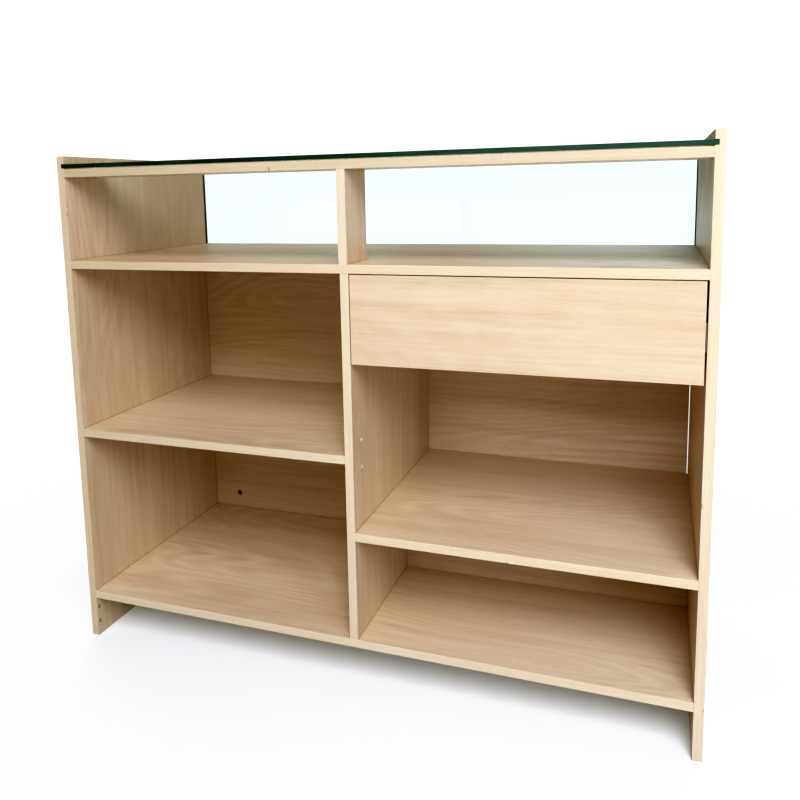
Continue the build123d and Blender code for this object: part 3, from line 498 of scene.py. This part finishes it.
# ---------------------------------------------------------------------- glass
def glass(name, thick, tint, through, fades_along_x):
    """Float glass: clear through its faces, deep green where an edge looks into the sheet.

    thick is the thickness axis; through is the colour of the light it lets pass.
    """
    net = material_net(name)
    wipe = net.noise(net.coord, scale=(3.0, 9.0, 3.0), detail=4.0, rough=0.6, distort=0.8)
    dust = net.noise(net.coord, scale=160.0, rough=0.7)
    smear = wipe.step(lo=0.50, hi=0.70) * 0.045 + dust.step(lo=0.66, hi=0.78) * 0.10
    pure = net.principled(Base_Color=tint, Roughness=smear, IOR=1.52, Transmission_Weight=1.0)
    clear = net.node("ShaderNodeBsdfTransparent", {0: through})
    shadow, diffuse = net.node("ShaderNodeLightPath", out=("Is Shadow Ray", "Is Diffuse Ray"))
    face = net.mix_shader(net.math("MAXIMUM", shadow, diffuse), pure, clear)
    grind = net.noise(net.coord, scale=(60.0, 60.0, 900.0), detail=3.0, rough=0.6)
    depth = net.noise(net.coord, scale=(9.0, 9.0, 200.0))
    # painted light: the top's front edge is near black at the left end and lighter towards the
    # right, where more light falls
    if fades_along_x:
        fade = net.split(net.coord)[X].step(lo=-0.6, hi=0.62)
        deep = net.mix(fade, (0.0035, 0.0135, 0.0095), (0.022, 0.070, 0.056))
    else:
        deep = net.mix(depth, (0.006, 0.030, 0.024), (0.020, 0.075, 0.060))
    deep = net.mix(depth.step(lo=0.45, hi=0.70) * 0.5, deep, (0.030, 0.100, 0.080))
    rim = net.principled(Base_Color=deep, IOR=1.52,
                         Roughness=grind.remap((0.3, 0.7), to=(0.10, 0.30)),
                         Normal=net.bump(grind, distance=0.00012, strength=0.5))
    return net.surface(net.mix_shader(net.facing(thick).above(0.9), rim, face))


assign(glass("float_glass_top", Z, tint=(0.965, 0.992, 0.980), through=(0.93, 0.975, 0.96),
             fades_along_x=True), "glass_top")
assign(glass("float_glass_pane", Y, tint=(0.815, 0.975, 0.998), through=(0.93, 0.97, 0.97),
             fades_along_x=False), "glass_customer_pane")


# ---------------------------------------------------------------------- metals
PLATED = (
    # material, drawn along, colour, roughness, extra yellow, seed, nodes
    ("zinc_runner", Y, (0.66, 0.67, 0.68), 0.30, 0.0, 0.0,
     ("runner_cabinet_left", "runner_cabinet_right")),
    ("zinc_runner_middle", Y, (0.70, 0.71, 0.72), 0.26, 0.0, 2.0,
     ("runner_middle_left", "runner_middle_right")),
    ("zinc_runner_drawer", Y, (0.68, 0.69, 0.70), 0.28, 0.0, 5.0,
     ("runner_drawer_left", "runner_drawer_right")),
    ("zinc_cage", Y, (0.58, 0.58, 0.57), 0.36, 0.0, 8.0,
     ("ball_cages_outer", "ball_cages_inner")),
    ("steel_ball", Y, (0.78, 0.78, 0.80), 0.10, 0.0, 9.0,
     ("bearing_balls_outer", "bearing_balls_inner")),
    ("zinc_screw", Y, (0.70, 0.66, 0.52), 0.28, 0.2, 11.0,
     ("runner_screws_carcass", "runner_screws_drawer", "drawer_box_screws",
      "drawer_front_screws", "cam_bolts")),
    ("zinc_confirmat", Z, (0.66, 0.66, 0.64), 0.30, 0.0, 12.0, ("divider_screws",)),
)


def zinc(name, run, base, rough, yellow, seed):
    """Zinc plating: drawn streaks along the run, small spangle, a faint bloom."""
    net = material_net(name)
    xyz = net.split(net.coord)
    second, third = other_axes(run)
    place = net.join(xyz[run] + seed, xyz[second], xyz[third])
    draw = net.noise(place, scale=(12.0, 1500.0, 1500.0), detail=3.0, rough=0.6)
    spangle = net.split(net.cells(net.coord, scale=900.0)[1])[0]
    bloom = net.noise(place, scale=(22.0, 60.0, 60.0), detail=3.0, rough=0.6)
    colour = net.mix(spangle * 0.25, base, tuple(c * 1.16 for c in base))
    yellowing = bloom.step(lo=0.45, hi=0.75) * (0.35 + yellow)
    colour = net.mix(yellowing, colour, (0.62, 0.58, 0.46))
    roughness = rough + draw.swing(0.16) + bloom.step(lo=0.5, hi=0.8) * 0.14
    normal = net.bump(draw + spangle * 0.2, distance=0.00004, strength=0.6)
    return net.surface(net.principled(Base_Color=colour, Metallic=1.0, Roughness=roughness,
                                      Normal=normal))


def casting(name):
    """Nickel-dipped zinc casting with the skin of its mould, in painted shade: dark, darker in
    recesses.
    """
    net = material_net(name)
    pit = net.noise(net.coord, scale=900.0, detail=3.0, rough=0.6)
    mottle = net.noise(net.coord, scale=140.0)
    # painted shade: the casting is coloured dark all over, and near black in its recesses by
    # ambient occlusion
    recess = net.occlusion(distance=0.004, only_local=True).step(lo=0.85, hi=0.45)
    colour = net.ramp(mottle, (0.3, (0.150, 0.125, 0.105)), (0.7, (0.330, 0.300, 0.265)))
    colour = net.mix(recess, colour, (0.030, 0.022, 0.016))
    return net.surface(net.principled(
        Base_Color=colour, Metallic=0.9, Roughness=pit.remap((0.3, 0.7), to=(0.38, 0.58)),
        Normal=net.bump(pit, distance=0.00006, strength=0.8)))


for name, *row, nodes in PLATED:
    assign(zinc(name, *row), *nodes)
assign(casting("cast_cam"), "cam_locks")


# --------------------------------------------------------- wood, rubber, plastic
def dowel(name):
    """Beech with dark pores along Y."""
    net = material_net(name)
    fibre = net.noise(net.coord, scale=300.0, detail=3.0, rough=0.6)
    pore = net.noise(net.coord, scale=(700.0, 120.0, 700.0), detail=1.0).step(lo=0.62, hi=0.72)
    colour = net.ramp(fibre, (0.25, (0.52, 0.33, 0.18)), (0.75, (0.70, 0.50, 0.31)))
    colour = net.mix(pore * 0.5, colour, (0.36, 0.21, 0.11))
    return net.surface(net.principled(
        Base_Color=colour, Roughness=0.72,
        Normal=net.bump(fibre, distance=0.0001, strength=0.6)))


def hardboard(name):
    """Lacquered hardboard: fine felted fibre under a thin print."""
    net = material_net(name)
    felt = net.noise(net.coord, scale=(300.0, 700.0, 300.0), detail=4.0, rough=0.65,
                     distort=0.7)
    cloud = net.noise(net.coord, scale=9.0, detail=3.0)
    colour = net.ramp(felt * 0.6 + cloud * 0.4,
                      (0.3, (0.62, 0.46, 0.29)), (0.7, (0.76, 0.60, 0.41)))
    speck = net.noise(net.coord, scale=900.0, detail=1.0, offset=(3, 1, 2))
    colour = net.mix(speck.step(lo=0.66, hi=0.72) * 0.4, colour, (0.30, 0.19, 0.10))
    return net.surface(net.principled(
        Base_Color=colour, Roughness=cloud.remap((0.3, 0.7), to=(0.40, 0.58)),
        Normal=net.bump(felt, distance=0.00008, strength=0.6)))


def soft(name, base, worn, rough, grit_scale):
    """Rubber or soft plastic, worn in clouds and on its corners."""
    net = material_net(name)
    grit = net.noise(net.coord, scale=grit_scale, detail=3.0, rough=0.6)
    bloom = net.noise(net.coord, scale=35.0, detail=3.0, rough=0.6)
    colour = net.mix(bloom.step(lo=0.45, hi=0.75) * 0.5, base, worn)
    colour = net.mix(net.edge(radius=0.0006) * 0.35, colour, worn)
    return net.surface(net.principled(
        Base_Color=colour, Roughness=rough + bloom.swing(0.25), Specular_IOR_Level=0.4,
        Normal=net.bump(grit, distance=0.00010, strength=0.7)))


def clear_pad(name):
    net = material_net(name)
    cloud = net.noise(net.coord, scale=300.0)
    return net.surface(net.principled(
        Base_Color=net.mix(cloud, (0.60, 0.64, 0.62), (0.78, 0.80, 0.78)),
        Roughness=cloud.remap((0.3, 0.7), to=(0.2, 0.4)), IOR=1.45, Transmission_Weight=0.6))


assign(dowel("beech_dowel"), "wooden_dowels")
assign(hardboard("lacquered_hardboard"), "drawer_bottom")
assign(soft("glazing_rubber", base=(0.045, 0.036, 0.016), worn=(0.085, 0.072, 0.040),
            rough=0.62, grit_scale=700.0), "glazing_strips")
assign(soft("bumper_rubber", base=(0.012, 0.012, 0.013), worn=(0.040, 0.040, 0.042),
            rough=0.70, grit_scale=900.0), "runner_bumpers")
assign(soft("plug_plastic", base=(0.760, 0.640, 0.480), worn=(0.820, 0.730, 0.600),
            rough=0.45, grit_scale=500.0), "hole_plugs")
assign(clear_pad("clear_pad"), "glass_pads")


# ------------------------------------------------------------------------ stage
FLOOR_RADII = (0.4, 0.8, 1.2, 1.8, 2.6, 3.6, 5.0, 7.0, 10.0, 15.0, 25.0, 60.0)
FLOOR_SEGMENTS = 96
FLOOR_DROP = 0.0006
FLOOR_SEEN, FLOOR_BOUNCE, FLOOR_FAR = 0.93, 0.42, 1.25  # near, bounced and far brightness


def floor_mesh():
    """A wide round floor, finer near the object."""
    bm = bmesh.new()
    angles = [2 * math.pi * i / FLOOR_SEGMENTS for i in range(FLOOR_SEGMENTS)]
    last = None
    centre = bm.verts.new((0, 0, 0))
    for radius in FLOOR_RADII:
        ring = [bm.verts.new((radius * math.cos(a), radius * math.sin(a), 0)) for a in angles]
        for i in range(FLOOR_SEGMENTS):
            j = (i + 1) % FLOOR_SEGMENTS
            if last is None:
                bm.faces.new((centre, ring[i], ring[j]))
            else:
                bm.faces.new((last[i], ring[i], ring[j], last[j]))
        last = ring
    mesh = bpy.data.meshes.new("studio_floor")
    bm.to_mesh(mesh)
    bm.free()
    return mesh


def floor_material():
    """Paper near the counter that turns to glowing white away from it."""
    net = material_net("studio_floor")
    x, y, _ = net.split(net.coord)
    out_x = net.math("MAXIMUM", net.math("ABSOLUTE", x) - HALF_WIDTH, 0.0)
    out_y = net.math("MAXIMUM", net.math("ABSOLUTE", y) - HALF_DEPTH, 0.0)
    away = net.math("SQRT", out_x * out_x + out_y * out_y)
    grain = net.noise(net.coord, scale=90.0, detail=3.0, rough=0.6)
    seen = net.mix(grain, (FLOOR_SEEN,) * 3, (FLOOR_SEEN * 0.985,) * 3)
    paper = net.principled(Base_Color=seen, Roughness=0.85, Specular_IOR_Level=0.2,
                           Emission_Color=(1, 1, 1), Emission_Strength=0.10)
    white = net.node("ShaderNodeEmission", {"Color": (1, 1, 1), "Strength": FLOOR_FAR})
    # diffuse light bounces off a plain grey floor, so the white does not light the counter
    return net.surface(net.mix_shader(away.step(lo=0.04, hi=0.90), paper, white),
                       bounce=(FLOOR_BOUNCE,) * 3)


floor = bpy.data.objects.new("studio_floor", floor_mesh())
floor.location = (0, 0, -FLOOR_DROP)
bpy.context.scene.collection.objects.link(floor)
floor.data.materials.append(floor_material())
floor.data.materials[0].cycles.emission_sampling = "NONE"


# ------------------------------------------------------------------------ light
AIM = (0.0, 0.0, 0.5)
STUDIO_GAIN = 0.965  # scales all the lights of STUDIO_LIGHTS
COOL, MILD, PLAIN = (0.965, 1.0, 1.055), (0.975, 0.985, 1.055), (1.0, 1.0, 1.0)


def polar(azimuth, elevation, distance):
    """A point around (0, 0, 0.4): azimuth from the staff side towards +X, in degrees."""
    a, e = math.radians(azimuth), math.radians(elevation)
    return (math.sin(a) * math.cos(e) * distance, -math.cos(a) * math.cos(e) * distance,
            0.4 + math.sin(e) * distance)


STUDIO_LIGHTS = (
    # name, place, side of its square, watts, colour
    ("key_right", polar(20, 34, 5.5), 1.6, 112.0, COOL),
    ("key_high", polar(20, 50, 5.5), 1.6, 98.0, COOL),
    ("side_high", polar(40, 50, 5.5), 2.2, 27.0, COOL),
    ("side_right", polar(40, 34, 5.5), 2.2, 15.0, COOL),
    ("near_right", (1.7, -1.5, 1.2), 1.2, 9.0, COOL),
    ("near_high", (1.1, -1.9, 2.1), 1.2, 9.0, COOL),
    ("near_low", (1.6, -1.6, 0.4), 1.2, 5.5, (0.86, 1.0, 1.22)),
    ("near_front", (0.3, -2.4, 1.0), 1.2, 1.5, PLAIN),
    ("front", polar(0, 34, 5.5), 2.2, 36.0, PLAIN),
    ("front_low", polar(0, 18, 5.5), 2.2, 4.0, PLAIN),
    ("fill_left", polar(-25, 34, 5.5), 2.2, 34.0, MILD),
    ("rear_left", (-1.5, 2.6, 1.7), 1.2, 2.4, PLAIN),
    ("rear_right", (1.5, 2.6, 1.7), 1.2, 2.4, PLAIN),
)
# The customer side, the outer ends and the shelf have lights that reach them alone.
LINKED_LIGHTS = (
    # name, place, size, watts, what it lights
    ("customer_left", (-2.6, 4.2, 2.2), (2.0, 2.0), 95.0,
     ("back_panel", "customer_kickboard", "studio_floor")),
    ("customer_right", (2.9, 3.8, 1.9), (2.0, 2.0), 70.0,
     ("back_panel", "customer_kickboard", "studio_floor")),
    ("customer_edges", (0.0, 4.0, 0.55), (2.4, 0.3), 34.0, ("display_shelf", "bottom_shelf")),
    ("end_left", (-3.6, 2.2, 2.0), (2.0, 2.0), 38.0,
     ("side_panel_left", "edging_side_left", "studio_floor")),
    ("end_right", (3.8, 2.0, 2.1), (2.0, 2.0), 32.0,
     ("side_panel_right", "edging_side_right", "studio_floor")),
    ("over_shelf", (0.60, 0.3, 3.2), (1.0, 1.0), 10.5, ("display_shelf", "top_front_rail")),
)
BEAM_PLACE, BEAM_AIM = (0.24, -2.82, 1.72), (0.34, 0.23, 0.40)


def light(name, kind, place, watts, colour):
    """A light the camera doesn't see."""
    data = bpy.data.lights.new(name, kind)
    data.energy = watts
    data.color = colour
    lamp = bpy.data.objects.new(name, data)
    lamp.location = place
    bpy.context.scene.collection.objects.link(lamp)
    lamp.visible_camera = False
    return lamp


def turn_to(place, aim):
    return (Vector(aim) - Vector(place)).to_track_quat("-Z", "Y")


def area(name, place, size, watts, colour):
    lamp = light(name, "AREA", place, watts, colour)
    lamp.data.shape = "RECTANGLE"
    lamp.data.size, lamp.data.size_y = size
    lamp.rotation_mode = "QUATERNION"
    lamp.rotation_quaternion = turn_to(place, AIM)
    return lamp


def light_only(lamp, names):
    receivers = bpy.data.collections.new("lit_by_" + lamp.name)
    for name in names:
        receivers.objects.link(floor if name == "studio_floor" else NODES[name])
    lamp.light_linking.receiver_collection = receivers


for name, place, side, watts, colour in STUDIO_LIGHTS:
    area(name, place, (side, side), watts * STUDIO_GAIN, colour)
for name, place, size, watts, receivers in LINKED_LIGHTS:
    light_only(area(name, place, size, watts, PLAIN), receivers)

# A narrow soft beam from the staff side onto the right of the back panel.
beam = light("under_drawer", "SPOT", BEAM_PLACE, watts=84.0, colour=(0.94, 1.0, 1.16))
beam.data.spot_size = math.radians(13.0)
beam.data.spot_blend = 0.8
beam.data.shadow_soft_size = 0.16
beam.rotation_euler = turn_to(BEAM_PLACE, BEAM_AIM).to_euler()
light_only(beam, ("back_panel",))


# ------------------------------------------------------------------------ world
# Strengths: for bounced light, for the camera; and the share of the latter in mirrors.
WORLD_FILL, WORLD_SEEN, WORLD_MIRRORED = 0.080, 1.25, 0.22


def build_world():
    """White to the camera and through glass, light grey in mirrors, dim for bounced light."""
    world = bpy.data.worlds.new("studio_white")
    bpy.context.scene.world = world
    net = Net(world, "ShaderNodeOutputWorld")
    fill = net.node("ShaderNodeBackground", {0: (1, 1, 1), 1: WORLD_FILL})
    seen = net.node("ShaderNodeBackground", {0: (1, 1, 1), 1: WORLD_SEEN})
    camera_ray, transmitted, glossy, diffuse = net.node("ShaderNodeLightPath", out=(
        "Is Camera Ray", "Is Transmission Ray", "Glossy Depth", "Diffuse Depth"))
    clean = (glossy + diffuse).below(0.5)
    mirrored = glossy.above(0.5) * diffuse.below(0.5)
    share = net.math("MAXIMUM", transmitted * clean, mirrored * WORLD_MIRRORED)
    net.surface(net.mix_shader(net.math("MAXIMUM", camera_ray, share), fill, seen))


build_world()

# ----------------------------------------------------------------------- camera
# The camera's own axes and its place, in world terms.
RIGHT = (0.942389, 0.333902, -0.020321)
UP = (-0.026856, 0.136067, 0.990336)
BACK = (0.333440, -0.932735, 0.137195)
CAMERA_PLACE = (0.508612, -1.472782, 0.920553)

lens = bpy.data.cameras.new("camera")
lens.sensor_fit = "HORIZONTAL"
lens.sensor_width = 36.0
lens.lens = 34.59393
lens.shift_x, lens.shift_y = 0.02097125, -0.12822625
lens.clip_start, lens.clip_end = 0.05, 200.0
camera = bpy.data.objects.new("camera", lens)
camera.matrix_world = Matrix(
    ((*RIGHT, 0), (*UP, 0), (*BACK, 0), (*CAMERA_PLACE, 1))).transposed()
bpy.context.scene.collection.objects.link(camera)
bpy.context.scene.camera = camera

# ---------------------------------------------------------------- tone response
TOES = (0.240, 0.258, 0.310)  # how far red, green and blue shadows are pulled down
SHOULDER = 0.05
LIGHT_MAX = 2.0
CURVE_STOPS = (0.008, 0.015, 0.022, 0.03, 0.045, 0.065, 0.09, 0.13, 0.18, 0.25, 0.34, 0.45,
               0.57, 0.70, 0.82, 0.93, 1.05, 1.25, 1.6)


def tone_point(value, toe):
    """Scene light in, screen light out, through an sRGB curve with a toe and a shoulder."""
    coded = value * 12.92 if value <= 0.0031308 else 1.055 * value ** (1 / 2.4) - 0.055
    coded = coded * (1 + toe) - toe
    knee = 1 - SHOULDER
    if coded > knee:
        coded = knee + SHOULDER * (1 - math.exp(-(coded - knee) / SHOULDER))
    coded = max(0.0, coded)
    return value, coded / 12.92 if coded <= 0.04045 else ((coded + 0.055) / 1.055) ** 2.4


view = bpy.context.scene.view_settings
view.view_transform = "Standard"
view.look = "None"
view.exposure = 0.0
view.gamma = 1.0
view.use_curve_mapping = True
mapping = view.curve_mapping
mapping.use_clip = True
mapping.clip_min_x, mapping.clip_min_y = 0.0, 0.0
mapping.clip_max_x, mapping.clip_max_y = LIGHT_MAX, LIGHT_MAX
for curve, toe in zip(mapping.curves, TOES):
    curve.points[0].location = tone_point(0.0, toe)
    curve.points[1].location = tone_point(LIGHT_MAX, toe)
    for stop in CURVE_STOPS:
        curve.points.new(*tone_point(stop, toe))
    for point in curve.points:
        point.handle_type = "VECTOR"
# the combined curve stays straight
mapping.curves[3].points[1].location = (LIGHT_MAX, LIGHT_MAX)
mapping.update()
